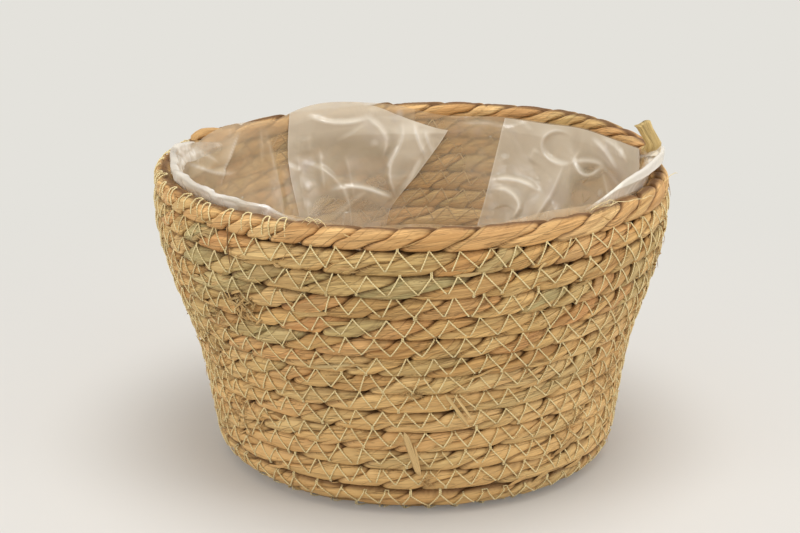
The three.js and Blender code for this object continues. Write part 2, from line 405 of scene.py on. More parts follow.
def seagrass_material(name, leaf_colours, variety):
    """Dry leaves wrapped round each ply: a colour for each lobe, two folds, fine fibres."""
    material, tree, shader = new_material(name)
    lay = add_node(tree, "ShaderNodeUVMap", uv_map="lay").outputs[0]
    ply = add_node(tree, "ShaderNodeSeparateXYZ", {0: lay}).outputs[1]
    lobe = math_node(tree, "FLOOR", ply)
    share = math_node(tree, "FRACT", ply)

    # Each lobe shows one to three leaves side by side, with a fine edge between two of them.
    first_fold = math_node(tree, "MULTIPLY_ADD", random_level(tree, lobe, 1.3, 0.7), 0.36, 0.14)
    second_fold = math_node(tree, "MULTIPLY_ADD", random_level(tree, lobe, 5.1, 2.9), 0.42, 0.55)
    leaf = math_node(
        tree, "ADD",
        math_node(tree, "GREATER_THAN", share, first_fold),
        math_node(tree, "GREATER_THAN", share, second_fold))
    lobe_pick = random_level(tree, lobe, 8.3, 4.1)
    leaf_pick = random_level(tree, lobe, leaf, 6.7)
    lobe_colour = ramp(tree, lobe_pick, leaf_colours, "CONSTANT")
    leaf_colour = ramp(tree, leaf_pick, leaf_colours, "CONSTANT")
    colour = mix_colour(tree, variety, lobe_colour, leaf_colour)
    nearest = math_node(
        tree, "MINIMUM",
        math_node(tree, "ABSOLUTE", math_node(tree, "SUBTRACT", share, first_fold)),
        math_node(tree, "ABSOLUTE", math_node(tree, "SUBTRACT", share, second_fold)))
    edge = between(tree, nearest, 0.028, 0.0)
    edge = math_node(tree, "MULTIPLY", edge, random_level(tree, leaf, lobe, 3.3))

    # Fibres run almost along the rope, as the leaves in each ply are twisted against the plies.
    # Every lobe takes its own stretch of them.
    fibre_place = add_node(tree, "ShaderNodeAttribute", attribute_name="fibre").outputs["Vector"]
    own_stretch = add_node(tree, "ShaderNodeCombineXYZ", {
        2: math_node(tree, "MULTIPLY", lobe_pick, 9.0),
    }).outputs[0]
    lay_place = add_node(tree, "ShaderNodeVectorMath", {0: fibre_place, 1: own_stretch}).outputs[0]
    fibre = add_node(tree, "ShaderNodeTexNoise", {
        "Vector": lay_place, "Scale": 11.0, "Detail": 3.0, "Roughness": 0.6,
    }).outputs[0]
    streak = add_node(tree, "ShaderNodeTexNoise", {
        "Vector": lay_place, "Scale": 2.4, "Detail": 2.0, "Roughness": 0.5, "Distortion": 0.4,
    }).outputs[0]
    shade = ramp(tree, fibre, [
        (0.30, (0.56, 0.49, 0.40, 1)),
        (0.41, (0.93, 0.92, 0.89, 1)),
        (0.70, (1.15, 1.15, 1.13, 1)),
    ])
    colour = mix_colour(tree, 1.0, colour, shade, "MULTIPLY")
    tone = ramp(tree, streak, [
        (0.3, (0.72, 0.66, 0.58, 1)),
        (0.5, (1.0, 1.0, 0.99, 1)),
        (0.7, (1.16, 1.18, 1.17, 1)),
    ])
    colour = mix_colour(tree, 1.0, colour, tone, "MULTIPLY")

    # Here and there a leaf's edge shows as a thin dark line.
    split = math_node(tree, "ABSOLUTE", math_node(tree, "SUBTRACT", streak, 0.54))
    split = between(tree, split, 0.02, 0.0)
    split = math_node(tree, "MULTIPLY", split, between(tree, fibre, 0.40, 0.47))
    edge = math_node(tree, "MAXIMUM", math_node(tree, "MULTIPLY", edge, 0.8), split)

    # The courses near the foot are all nearly the same straw colour.
    place = add_node(tree, "ShaderNodeTexCoord").outputs["Object"]
    height = add_node(tree, "ShaderNodeSeparateXYZ", {0: place}).outputs[2]
    low = add_node(tree, "ShaderNodeMapRange", {
        0: height, 1: EVEN_BELOW, 2: VARIED_ABOVE, 3: 0.5, 4: 0.0,
    }).outputs[0]
    colour = mix_colour(tree, low, colour, EVEN_STRAW)

    # Leaf edges are darker. Shade is painted brown into the creases and folds of the plies and the seams
    # between the courses, and the dark loose leaves and the stalk take the same brown.
    colour = mix_colour(tree, math_node(tree, "MULTIPLY", edge, 0.65), colour, LEAF_EDGE_BROWN)
    painted_shade_and_dark_leaf = add_node(tree, "ShaderNodeAttribute", attribute_name="painted_shade_and_dark_leaf").outputs["Fac"]
    colour = mix_colour(tree, math_node(tree, "MULTIPLY", painted_shade_and_dark_leaf, 0.88), colour, SHADE_AND_DARK_LEAF_BROWN)
    tree.links.new(colour, shader.inputs["Base Color"])

    relief = math_node(tree, "SUBTRACT", math_node(tree, "MULTIPLY", fibre, 0.5), edge)
    bump = add_node(tree, "ShaderNodeBump", {
        "Strength": 0.65, "Distance": FIBRE_RELIEF, "Height": relief,
    })
    tree.links.new(bump.outputs[0], shader.inputs["Normal"])
    rough = add_node(tree, "ShaderNodeMapRange", {0: fibre, 3: 0.5, 4: 0.75}).outputs[0]
    tree.links.new(rough, shader.inputs["Roughness"])
    shader.inputs["Specular IOR Level"].default_value = 0.3
    return material


wall_grass = seagrass_material("wall_seagrass", [
    (0.0, srgb(204, 162, 102)),
    (0.16, srgb(217, 178, 118)),
    (0.3, srgb(196, 168, 112)),
    (0.42, srgb(204, 153, 98)),
    (0.52, srgb(186, 166, 116)),
    (0.6, srgb(211, 172, 112)),
    (0.72, srgb(188, 143, 87)),
    (0.82, srgb(180, 163, 114)),
    (0.91, srgb(222, 187, 130)),
], variety=0.3)


def fibre_pattern(angle, along):
    """Place in the pattern of the leaves' fibres, which closes on itself round the rope."""
    return np.stack([np.cos(angle), np.sin(angle), along], -1)


def rope_mesh(
    name, first_turn, last_turn, lowest=0.0,
    half_height=HALF_HEIGHT, half_thickness=HALF_THICKNESS, stretch=1.0, sunk=0.0,
):
    """A stretch of the twisted rope between two turns, closed at both ends."""
    start, end = rope_length(first_turn), rope_length(last_turn)
    columns = round((end - start) / ROPE_STEP)
    mesh, share_along, share_round = grid_mesh(name, columns, ROPE_SIDES)
    along = start + (end - start) * share_along
    turn = turn_at(along)

    # The grid's rows follow the plies, and lie closer together near the creases. Each ply lies
    # flatter on the rope's face than over its top, which makes its lobes long and lens-shaped.
    row = 2 * share_round
    across = row - np.floor(row)
    ply = np.floor(row) + across - 0.5 * np.sin(TURN * across) / TURN
    twist = np.interp(turn, TURN_TABLE, TWIST_TABLE) / stretch
    uneven = 0.12 * wander(along, 13 * MM, 6) + 0.05 * wander(along, 5 * MM, 7)
    uneven = uneven * np.cos(math.pi * ply)
    angle = math.pi * (ply + uneven) - twist
    angle = angle - LENS_SHARE * np.sin(2 * angle)

    # Each face counts how often its ply has come round the rope's underside.
    corners = np.empty(len(mesh.loops), dtype=int)
    mesh.loops.foreach_get("vertex_index", corners)
    rounds = np.floor((angle[corners].reshape(-1, 4).mean(1) + math.pi / 2) / TURN)
    set_uv(mesh, along[corners], ply[corners] - 2 * np.repeat(rounds, 4))

    ply = ply - 2 * np.floor((angle + math.pi / 2) / TURN)
    reach, painted_shade_and_dark_leaf = rope_surface(turn, angle, ply, half_height, half_thickness)
    up = reach * np.sin(angle) - half_height * (1 - thinning(turn))
    up = up + ROPE_WANDER * wander(along, 41 * MM, 9) - sunk
    points = fabric(turn * PITCH, azimuth_of(turn), reach * np.cos(angle), up)
    points[:, 2] = np.maximum(points[:, 2], lowest)
    set_points(mesh, points)
    set_level(mesh, "painted_shade_and_dark_leaf", painted_shade_and_dark_leaf)
    lay_turn = angle + FIBRE_LEAN * twist
    set_direction(mesh, "fibre", fibre_pattern(lay_turn, FIBRE_RATE * along))
    weld(mesh)
    return mesh


# The floor's rope ends where the heel starts, a whole number of 24ths of a turn before its end.
FLOOR_LENGTH = FLOOR_RADIUS - CORE_RADIUS
HEEL_TURN_COUNT = TURNS - round((TURNS - FLOOR_LENGTH / PITCH) * 24) / 24

# The sewing under the floor's rope holds it this far off the table.
THREAD_RADIUS = 0.34 * MM
SEWING_CLEARANCE = 1.6 * THREAD_RADIUS
add_piece(
    rope_mesh(
        "floor_rope", 0, HEEL_TURN_COUNT,
        lowest=SEWING_CLEARANCE, half_thickness=FLOOR_HALF_THICKNESS,
    ),
    wall_grass, "seagrass", "floor_coil",
)

# The rope's start
# The beginning of the same seagrass rope, squeezed thin and turned into the middle of the floor
# inside the first turn. It fills the small opening that the spiral leaves there.
START_FIRST_SHARE = 0.28
START_TURN_SHARE = 0.68
START_CLEARANCE = 0.45 * MM
START_SQUEEZE = 0.97
START_HALF_DEPTH = 3.9 * MM
START_LENGTH = 30 * MM
START_LOBE = 5
START_GRID = (28, 18)


def one_lobe(number, share_round):
    """Place across a single lobe that runs there and back round a piece of rope."""
    return number + 0.98 * np.abs(2 * share_round - 1)


start_mesh, start_along, start_round = grid_mesh("rope_start", *START_GRID)
start_share = START_FIRST_SHARE + START_TURN_SHARE * start_along
start_gap = START_CLEARANCE + PITCH * start_share
start_angle = TURN * start_round
start_radius = start_gap / 2 * (1 + START_SQUEEZE * np.cos(start_angle))
start_depth = START_HALF_DEPTH * np.sqrt(start_share) * np.sin(start_angle)
start_azimuth = azimuth_of(0) - TURN * start_share
zeros = np.zeros_like(start_radius)
set_points(start_mesh, fabric(start_radius - CORE_RADIUS, start_azimuth, -start_depth, zeros))
set_uv(start_mesh, start_along * START_LENGTH, one_lobe(START_LOBE, start_round))
set_level(start_mesh, "painted_shade_and_dark_leaf", zeros)
set_direction(start_mesh, "fibre", fibre_pattern(start_angle, start_along))
weld(start_mesh)
add_piece(start_mesh, wall_grass, "seagrass", "floor_coil")

# The wall's courses
# The same rope goes on up the wall, one course on another, thirteen of them under the rim. Each
# is a piece here, and each meets the next end to end.
COURSES = 13
course_turns = [HEEL_TURN_COUNT] + [TURNS - COURSES + k for k in range(COURSES)]
for number, (first, last) in enumerate(zip(course_turns[:-1], course_turns[1:]), 1):
    add_piece(
        rope_mesh(f"wall_rope_{number:02d}", first, last, lowest=SEWING_CLEARANCE),
        wall_grass, "seagrass", "wall_coil",
    )

# The rim course
# The last turn of the rope. It is fuller, smoother and more orange than the courses under it,
# and no thread crosses it at the front. It is thinned towards its end at the right rear.
RIM_HALF_HEIGHT = 4.8 * MM
RIM_HALF_THICKNESS = 4.4 * MM
RIM_SUNK = 0.5 * MM
RIM_STRETCH = 1.02
rim_grass = seagrass_material("rim_seagrass", [
    (0.0, srgb(214, 170, 113)),
    (0.25, srgb(205, 158, 103)),
    (0.5, srgb(224, 186, 130)),
    (0.75, srgb(211, 164, 105)),
    (0.9, srgb(209, 178, 121)),
], variety=0.35)
add_piece(
    rope_mesh(
        "rim_rope", TURNS - 1, TURNS, half_height=RIM_HALF_HEIGHT,
        half_thickness=RIM_HALF_THICKNESS, stretch=RIM_STRETCH, sunk=RIM_SUNK,
    ),
    rim_grass, "seagrass", "wall_coil",
)

# The rope's cut end
# The thinned rope is bent up out of the rim and cut off at a slant. It is a strip of pale leaf
# 8 mm wide, which stands up by 15 mm and leans over the opening.
TAIL_BEND_RADIUS = 6 * MM
TAIL_BEND = math.radians(80)
TAIL_LENGTH = 11 * MM
TAIL_LEAN = math.tan(math.radians(30))
TAIL_HALF_WIDTH = 4.4 * MM
TAIL_NARROWING = 0.3 * MM
TAIL_FLATTENING = 1.2 * MM
TAIL_FLAT_AFTER = 7 * MM
TAIL_RIPPLE = 0.05
TAIL_LOBE = 3
TAIL_GRID = (44, 28)
CUT_SLOPE = 1.2 * MM
outward = np.array([math.sin(END_AZIMUTH), -math.cos(END_AZIMUTH), 0])
onward = np.array([-math.cos(END_AZIMUTH), -math.sin(END_AZIMUTH), 0])
upward = np.array([0, 0, 1])
drop = -RIM_HALF_HEIGHT * (1 - THINNED_SHARE)
tail_start = fabric(np.array(SECTION_LENGTH), END_AZIMUTH, 0.0, drop)

tail_mesh, tail_along, tail_round = grid_mesh("rope_end", *TAIL_GRID)
bend_length = TAIL_BEND_RADIUS * TAIL_BEND
travelled = tail_along * (bend_length + TAIL_LENGTH)
bend = np.minimum(travelled / TAIL_BEND_RADIUS, TAIL_BEND)
straight = np.maximum(travelled - bend_length, 0)
run = TAIL_BEND_RADIUS * np.sin(bend) + straight * np.cos(bend)
climb = TAIL_BEND_RADIUS * (1 - np.cos(bend)) + straight * np.sin(bend)
tail_angle = TURN * tail_round
flatness = np.clip(travelled / TAIL_FLAT_AFTER, 0, 1)
half_width = TAIL_HALF_WIDTH - TAIL_NARROWING * flatness
half_depth = RIM_HALF_HEIGHT * THINNED_SHARE - TAIL_FLATTENING * flatness
squash = (
    np.abs(np.cos(tail_angle) / half_width) ** 3 + np.abs(np.sin(tail_angle) / half_depth) ** 3
) ** (-1 / 3)
squash = squash * (1 + TAIL_RIPPLE * np.sin(5 * tail_angle + travelled * 200))
tail_out = squash * np.cos(tail_angle)
tail_up = squash * np.sin(tail_angle)
cut_rise = CUT_SLOPE * np.clip(tail_along * 8 - 7, 0, 1) * np.cos(tail_angle)
tail_points = (
    tail_start
    + (run - tail_up * np.sin(bend))[:, None] * onward
    + (climb + tail_up * np.cos(bend) + cut_rise)[:, None] * upward
    + (tail_out - straight * TAIL_LEAN)[:, None] * outward
)
set_points(tail_mesh, tail_points)
set_uv(tail_mesh, travelled, one_lobe(TAIL_LOBE, tail_round))
# Shade is painted along the crease down the middle of its broad faces.
set_level(tail_mesh, "painted_shade_and_dark_leaf", 0.35 * np.exp(-(np.cos(tail_angle) / 0.12) ** 2))
set_direction(tail_mesh, "fibre", fibre_pattern(tail_angle, FIBRE_RATE * travelled))
weld(tail_mesh)
tail_grass = seagrass_material("tail_seagrass", [
    (0.0, srgb(212, 186, 128)), (0.5, srgb(204, 176, 118)), (0.8, srgb(216, 182, 122)),
], variety=0.5)
add_piece(tail_mesh, tail_grass, "seagrass", "rope_tail")

# The needle thread
# A pale cream thread 0.7 mm thick, machine sewn in a zigzag over each seam: its upper holes lie
# in the course over the seam and its lower ones in the course under it. It is pulled straight.
# The stitches near the foot are shorter and lower, and change over a few courses to the tall ones.
STITCH_AT_FOOT = 11.2 * MM
STITCH_AT_RIM = 12.9 * MM
LONG_LEG = 0.6
SEAM = PITCH / 2 - 1.5 * MM
HOLE_OVER = PITCH / 2 + 0.7 * MM
HOLE_UNDER = -2.1 * MM
STITCH_DEPTH = 1.9 * MM
STITCH_LIFT = 0.3 * MM
ROPE_ROUNDING = 34
FOOT_SHARE = 0.86
STITCHES_CHANGE = [TURNS - 9, TURNS - 6]
SEWN_FROM = 1.3
SEWN_TO = TURNS - 1
LEG_POINTS = 6
STITCH_COUNTS = np.concatenate([[0], np.cumsum(
    np.diff(ROPE_LENGTHS)
    / np.interp(TURN_TABLE[1:], STITCHES_CHANGE, [STITCH_AT_FOOT, STITCH_AT_RIM])
)])
thread_random = np.random.default_rng(SEED + 40)


def stitch_holes(first_turn, last_turn):
    """Lengths of rope at the holes, lower and upper ones in turn."""
    start, end = np.interp([first_turn, last_turn], TURN_TABLE, STITCH_COUNTS)
    pairs = round(end - start)
    legs = np.tile([LONG_LEG, 1 - LONG_LEG], pairs)
    legs = legs * (1 + thread_random.uniform(-0.16, 0.16, len(legs)))
    holes = np.concatenate([[0], np.cumsum(legs)])
    return np.interp(start + holes * (end - start) / holes[-1], STITCH_COUNTS, ROPE_LENGTHS)


def thread_tube(name, centres, outward_sides, radius, sides):
    """A round thread through points, its section turned by the way that points outwards."""
    mesh, share_along, share_round = grid_mesh(name, len(centres) - 1, sides)
    heading = np.gradient(centres, axis=0)
    heading /= np.linalg.norm(heading, axis=1, keepdims=True) + 1e-12
    sideways = np.cross(heading, outward_sides)
    sideways /= np.linalg.norm(sideways, axis=1, keepdims=True) + 1e-12
    lifted = np.cross(sideways, heading)
    ring = np.rint(share_along * (len(centres) - 1)).astype(int)
    angle = TURN * share_round
    points = centres[ring] + radius * (
        np.cos(angle)[:, None] * lifted[ring] + np.sin(angle)[:, None] * sideways[ring])
    set_points(mesh, points)
    travelled = np.concatenate([[0], np.cumsum(np.linalg.norm(np.diff(centres, axis=0), axis=1))])
    set_uv(mesh, travelled[ring], share_round)
    weld(mesh)
    return mesh


def zigzag(first_turn, last_turn, face, loose):
    """Points of a zigzag on the outside (face 1) or the inside (face -1) of the fabric."""
    holes = stitch_holes(first_turn, last_turn)
    upper = np.arange(len(holes)) % 2 == 1
    share = np.interp(turn_at(holes), STITCHES_CHANGE, [FOOT_SHARE, 1.0])
    hole_up = SEAM + (np.where(upper, HOLE_OVER, HOLE_UNDER) - SEAM) * share
    hole_up = hole_up + loose * thread_random.uniform(-0.6, 0.6, len(holes)) * MM

    # Two legs end a little apart, or join in a short upright stitch before they dive.
    pulled = thread_random.random(len(holes)) < loose * np.where(upper, 0.35, 0.22)
    tick = np.where(pulled, thread_random.uniform(1.0, 2.5, len(holes)), 0)
    tick = tick * np.where(upper, 1, -1) * MM
    apart = loose * thread_random.uniform(-0.4, 1.3, len(holes)).clip(0.1)
    spread = np.where(pulled, 0.28, apart) * MM
    start, end = holes[:-1] + spread[:-1], holes[1:] - spread[1:]
    steps = np.linspace(0, 1, LEG_POINTS)
    up = hole_up[:-1, None] + np.diff(hole_up)[:, None] * steps
    place = start[:, None] + (end - start)[:, None] * steps
    place = np.column_stack([start, start, place, end, end]).ravel()
    dive_up = hole_up + tick
    up = np.column_stack([dive_up[:-1], dive_up[:-1], up, dive_up[1:], dive_up[1:]])
    out = HALF_THICKNESS + THREAD_RADIUS + STITCH_LIFT - ROPE_ROUNDING * up**2
    out[:, [0, -1]] -= STITCH_DEPTH
    up, out = up.ravel(), out.ravel()
    turn = turn_at(place)
    centres = fabric(turn * PITCH, azimuth_of(turn), face * out, up)
    beyond = fabric(turn * PITCH, azimuth_of(turn), face * (out + 1 * MM), up)
    centres[:, 2] = np.maximum(centres[:, 2], THREAD_RADIUS)
    return centres, beyond - centres


THREAD_TWISTS = 900.0
THREAD_RELIEF = 0.2 * MM


def thread_material(name, colour, shadow):
    """Two-ply sewing thread: fine slanting plies, matt, a little uneven in colour."""
    material, tree, shader = new_material(name)
    lay = add_node(tree, "ShaderNodeUVMap", uv_map="lay").outputs[0]
    parts = add_node(tree, "ShaderNodeSeparateXYZ", {0: lay})
    slant = math_node(tree, "MULTIPLY_ADD", parts.outputs[0], THREAD_TWISTS, parts.outputs[1])
    lay_wave = math_node(tree, "SINE", math_node(tree, "MULTIPLY", slant, TURN))
    uneven = add_node(tree, "ShaderNodeTexNoise", {
        "Vector": add_node(tree, "ShaderNodeTexCoord").outputs["Object"], "Scale": 220.0,
    }).outputs[0]
    # Shade is painted into the grooves between the plies, toward the shadow colour, over the thread's
    # own uneven colour.
    level = math_node(tree, "MULTIPLY_ADD", lay_wave, 0.18, uneven)
    tint = ramp(tree, level, [(0.3, shadow), (0.62, colour)])
    tree.links.new(tint, shader.inputs["Base Color"])
    bump = add_node(tree, "ShaderNodeBump", {
        "Strength": 0.35, "Distance": THREAD_RELIEF, "Height": lay_wave,
    })
    tree.links.new(bump.outputs[0], shader.inputs["Normal"])
    shader.inputs["Roughness"].default_value = 0.6
    shader.inputs["Sheen Weight"].default_value = 0.2
    return material


needle_cream = thread_material("cream_thread", srgb(236, 218, 164), srgb(205, 180, 122))
for name, first, last in (
    ("floor_stitches", SEWN_FROM, HEEL_TURN_COUNT),
    ("wall_stitches", HEEL_TURN_COUNT, SEWN_TO),
):
    centres, away = zigzag(first, last, face=1, loose=1.0)
    add_piece(
        thread_tube(name, centres, away, THREAD_RADIUS, 5), needle_cream, "thread", "needle_thread")

# Loose stitches over the rim
# At the left the last stitches don't stop at the seam: they hook over the rim course in loose
# loops, where they hold the film's edge.
LOOPS = 16
LOOPS_FROM = -108
LOOPS_TO = -26
LOOP_POINTS = 13
LOOP_FOOT = math.radians(-82)
loop_azimuths = np.linspace(LOOPS_FROM, LOOPS_TO, LOOPS) + thread_random.uniform(-1.6, 1.6, LOOPS)
loop_turns = TURNS - np.mod(np.radians(loop_azimuths) - END_AZIMUTH, TURN) / TURN
loop_lengths = rope_length(np.sort(loop_turns))
loop_place, loop_angle, loop_lift = [], [], []
for at in loop_lengths:
    width = thread_random.uniform(2.2, 3.6) * MM
    lean = thread_random.uniform(-2.4, 2.4) * MM
    top = math.radians(thread_random.uniform(62, 100))
    for k in range(LOOP_POINTS):
        s = k / (LOOP_POINTS - 1) * 2 - 1
        arch = 1 - abs(s) ** 2.6
        loop_place.append(at + width * math.copysign(abs(s) ** 0.7, s) + lean * arch)
        loop_angle.append(LOOP_FOOT + (top - LOOP_FOOT) * arch)
        loop_lift.append(0.55 * arch ** 0.5 - 0.3)
loop_turn = turn_at(np.array(loop_place))
loop_angle = np.array(loop_angle)
loop_reach = envelope(loop_angle, RIM_HALF_HEIGHT, RIM_HALF_THICKNESS) + THREAD_RADIUS
loop_reach = loop_reach + np.array(loop_lift) * MM
loop_centres, loop_beyond = (
    fabric(
        loop_turn * PITCH, azimuth_of(loop_turn),
        reach * np.cos(loop_angle), reach * np.sin(loop_angle))
    for reach in (loop_reach, loop_reach + 1 * MM)
)
add_piece(
    thread_tube("rim_loops", loop_centres, loop_beyond - loop_centres, THREAD_RADIUS, 6),
    needle_cream, "thread", "needle_thread")

# The under thread
# The second thread of the lockstitch, a duller one 0.6 mm thick. It makes the same zigzag inside
# the basket, tighter and behind the film.
UNDER_THREAD_RADIUS = 0.3 * MM
centres, away = zigzag(SEWN_FROM, SEWN_TO, face=-1, loose=0.0)
under_cream = thread_material("dull_thread", srgb(206, 176, 124), srgb(176, 144, 96))
add_piece(
    thread_tube("under_stitches", centres, -away, UNDER_THREAD_RADIUS, 4),
    under_cream, "thread", "under_thread")

# Loose leaf ends
# Ends, edges and splinters of leaf that stick out of the rope where the needle split it: many at
# the sides, few at the front, with some broad strips and a brown stalk caught under the thread.
LEAF_ENDS = 760
LEAF_EDGES = 230
LOOSE_FROM = TURNS - 13.6
FRONT_HALF = 42
STRAND_RINGS = 9
WALL_RADIUS = 116 * MM
loose_random = np.random.default_rng(SEED + 60)
on_wall = POINTS[:, 1] > 12 * MM


def length_at(height):
    """Length along the section at a height over the table, on the wall."""
    return np.interp(height, POINTS[on_wall, 1], LENGTHS[on_wall])


def strand(azimuth, length, slant, reach, lift, width, thickness=0.15, dark=0.0, bow=0.0, blunt=0.6):
    """A strand on the outside of the wall: its middle, its slant from level in degrees, its length,
    its height off the rope at start, middle and end, its width, thickness and bend in mm, how dark
    it is, and how sharply it narrows to its ends (blunt at 0)."""
    share = np.linspace(-0.5, 0.5, STRAND_RINGS)
    lean = math.radians(slant)
    bent = bow * (0.25 - share**2)
    along = (reach * share * math.cos(lean) - bent * math.sin(lean)) * MM
    up = (reach * share * math.sin(lean) + bent * math.cos(lean)) * MM
    out = HALF_THICKNESS + np.interp(share, [-0.5, 0, 0.5], lift) * MM
    place = math.radians(azimuth) + along / WALL_RADIUS
    level = np.zeros(STRAND_RINGS)
    path = fabric(length + up, place, out, level)
    beyond = fabric(length + up, place, out + 1 * MM, level)
    return path, beyond - path, width * MM, thickness * MM, dark, blunt


def strand_mesh(name, strands, sides=6):
    """Separate flattened strands that narrow towards both ends, each closed."""
    mesh, share_along, share_round = grid_mesh(name, len(strands) * STRAND_RINGS - 1, sides)
    ring = np.rint(share_along * (len(strands) * STRAND_RINGS - 1)).astype(int)
    owner = ring // STRAND_RINGS
    paths, away, *values = (np.array(given) for given in zip(*strands))
    width, thickness, dark, blunt = (value[owner] for value in values)
    heading = np.gradient(paths, axis=1)
    heading /= np.linalg.norm(heading, axis=2, keepdims=True)
    sideways = np.cross(heading, away)
    sideways /= np.linalg.norm(sideways, axis=2, keepdims=True)
    lifted = np.cross(sideways, heading)
    narrowed = np.sin(math.pi * (ring % STRAND_RINGS) / (STRAND_RINGS - 1)).clip(0)
    narrowed = 0.15 + 0.85 * narrowed ** blunt
    angle = TURN * share_round
    points = paths.reshape(-1, 3)[ring]
    points = points + (width / 2 * narrowed * np.cos(angle))[:, None] * sideways.reshape(-1, 3)[ring]
    points = points + (thickness * narrowed * np.sin(angle))[:, None] * lifted.reshape(-1, 3)[ring]
    set_points(mesh, points)
    along = (ring % STRAND_RINGS) * 1.2 * MM
    set_uv(mesh, along, owner + 0.5)
    set_level(mesh, "painted_shade_and_dark_leaf", dark)
    across = 600 * width * np.cos(angle)
    set_direction(mesh, "fibre", np.stack([across, owner * 0.7, FIBRE_RATE * along], -1))
    bm = bmesh.new()
    bm.from_mesh(mesh)
    links = [face for face in bm.faces if len({owner[v.index] for v in face.verts}) > 1]
    bmesh.ops.delete(bm, geom=links, context="FACES")
    bm.to_mesh(mesh)
    bm.free()
    weld(mesh)
    return mesh


strands = []
while len(strands) < LEAF_ENDS:
    turn = loose_random.uniform(LOOSE_FROM, TURNS - 0.55)
    azimuth = (math.degrees(azimuth_of(turn)) + 180) % 360 - 180
    if abs(azimuth) < FRONT_HALF and loose_random.random() > 0.2:
        continue
    slant = loose_random.normal(8, 26) + 180 * loose_random.integers(0, 2)
    strands.append(strand(
        azimuth, turn * PITCH + loose_random.uniform(-4.8, 4.8) * MM, slant,
        reach=loose_random.uniform(4, 12),
        lift=(-1.2, loose_random.uniform(0, 0.8), loose_random.uniform(0, 1.4) ** 2),
        width=loose_random.uniform(0.25, 0.8) * loose_random.choice([1, 1, 1, 2.4]),
        dark=loose_random.choice([0, 0, 0, 0.35]), bow=loose_random.uniform(-1.6, 1.6)))

# Broad leaf edges lie along the twist, over the seams.
for _ in range(LEAF_EDGES):
    turn = loose_random.uniform(LOOSE_FROM, TURNS - 1.0)
    strands.append(strand(
        math.degrees(azimuth_of(turn)), turn * PITCH + loose_random.uniform(-4.6, 2.5) * MM,
        loose_random.uniform(2, 26), reach=loose_random.uniform(12, 24),
        lift=(-0.9, loose_random.uniform(-0.1, 0.3), -0.9), width=loose_random.uniform(1.6, 3.2),
        thickness=0.35, bow=loose_random.uniform(-2, 2)))

# Tufts: azimuth, height, spread of both, how many, the longest, and the widest.
TUFTS = [
    (-39, 104, 4.5, 6, 26, 13, 1.6), (-50, 92, 5, 5, 14, 10, 1.0), (0, 66, 3.5, 2, 20, 8, 0.7),
    (3, 19.5, 1.6, 3, 26, 8, 0.6), (-62, 70, 7, 12, 34, 10, 1.0), (-52, 40, 9, 12, 30, 10, 0.9),
    (60, 52, 9, 12, 34, 10, 0.9), (44, 36, 8, 8, 22, 9, 0.9), (70, 110, 8, 12, 24, 10, 1.0),
]
for azimuth, height, turned, raised, count, longest, widest in TUFTS:
    for _ in range(count):
        strands.append(strand(
            azimuth + loose_random.normal(0, turned / 2),
            length_at(height * MM) + loose_random.normal(0, raised / 2) * MM,
            loose_random.uniform(-70, 70) + 180 * loose_random.integers(0, 2),
            reach=longest * loose_random.uniform(0.5, 1),
            lift=(-0.6, loose_random.uniform(0.4, 1.3), loose_random.uniform(0.3, 2.2)),
            width=widest * loose_random.uniform(0.4, 1), dark=loose_random.choice([0, 0, 0.3]),
            bow=loose_random.uniform(-2, 2)))

# The brown stalk under the rim at the left, and broad strips of leaf on the front: a split pair
# low down, another in the middle, and one alone further left.
strands.append(strand(-41, length_at(131 * MM), -88, 19, (0.2, 1.0, 0.4), 0.9, 0.3, dark=0.85))
strips = [
    strand(-1.1, length_at(34.5 * MM), -73, 25, (1.0, 1.4, 0.9), 3.2, 0.3, blunt=0.1),
    strand(0.2, length_at(31 * MM), -80, 17, (0.7, 1.2, 0.9), 1.5, 0.3, blunt=0.15),
    strand(10, length_at(57.5 * MM), -57, 22, (1.0, 1.3, 0.9), 1.7, 0.25, blunt=0.1),
    strand(11.6, length_at(58.5 * MM), -57, 18, (0.9, 1.3, 0.9), 1.4, 0.25, blunt=0.15),
    strand(-19, length_at(80 * MM), 12, 20, (0.4, 0.8, 0.3), 2.2, 0.2, blunt=0.3),
]
loose_grass = seagrass_material("loose_seagrass", [
    (0.0, srgb(214, 178, 120)), (0.3, srgb(204, 168, 110)), (0.55, srgb(222, 190, 134)),
    (0.75, srgb(196, 166, 112)), (0.9, srgb(208, 164, 108)),
], variety=0.3)
add_piece(strand_mesh("loose_leaf_ends", strands), loose_grass, "seagrass")
pale_grass = seagrass_material("pale_seagrass", [
    (0.0, srgb(220, 194, 142)), (0.5, srgb(212, 184, 130)),
], variety=0.3)
add_piece(strand_mesh("leaf_strips", strips), pale_grass, "seagrass")

# A fold of leaf stands up on the rim at the left rear: its azimuths, and heights in mm.
KNOB_TURN = [-128, -123, -117, -113, -111]
KNOB_UP = [-3.5, -0.4, 1.6, 1.2, -2.5]
KNOB_WIDTH = 7.5 * MM
KNOB_THICKNESS = 2.6 * MM
on_rim = np.full(STRAND_RINGS, SECTION_LENGTH)
knob_turn = np.linspace(KNOB_TURN[-1], KNOB_TURN[0], STRAND_RINGS)
knob_up = np.interp(knob_turn, KNOB_TURN, KNOB_UP) * MM
knob_path = fabric(on_rim, np.radians(knob_turn), np.zeros(STRAND_RINGS), knob_up)
knob = (knob_path, np.tile([0, 0, 1.0], (STRAND_RINGS, 1)), KNOB_WIDTH, KNOB_THICKNESS, 0.0, 0.6)
add_piece(strand_mesh("rim_knob", [knob], sides=16), rim_grass, "seagrass")

# Loose thread ends
# Fine curled ends of the sewing thread, left on the rim where it was cut off, at the front left
# and at the right.
HAIR_THICKNESS = 0.14 * MM


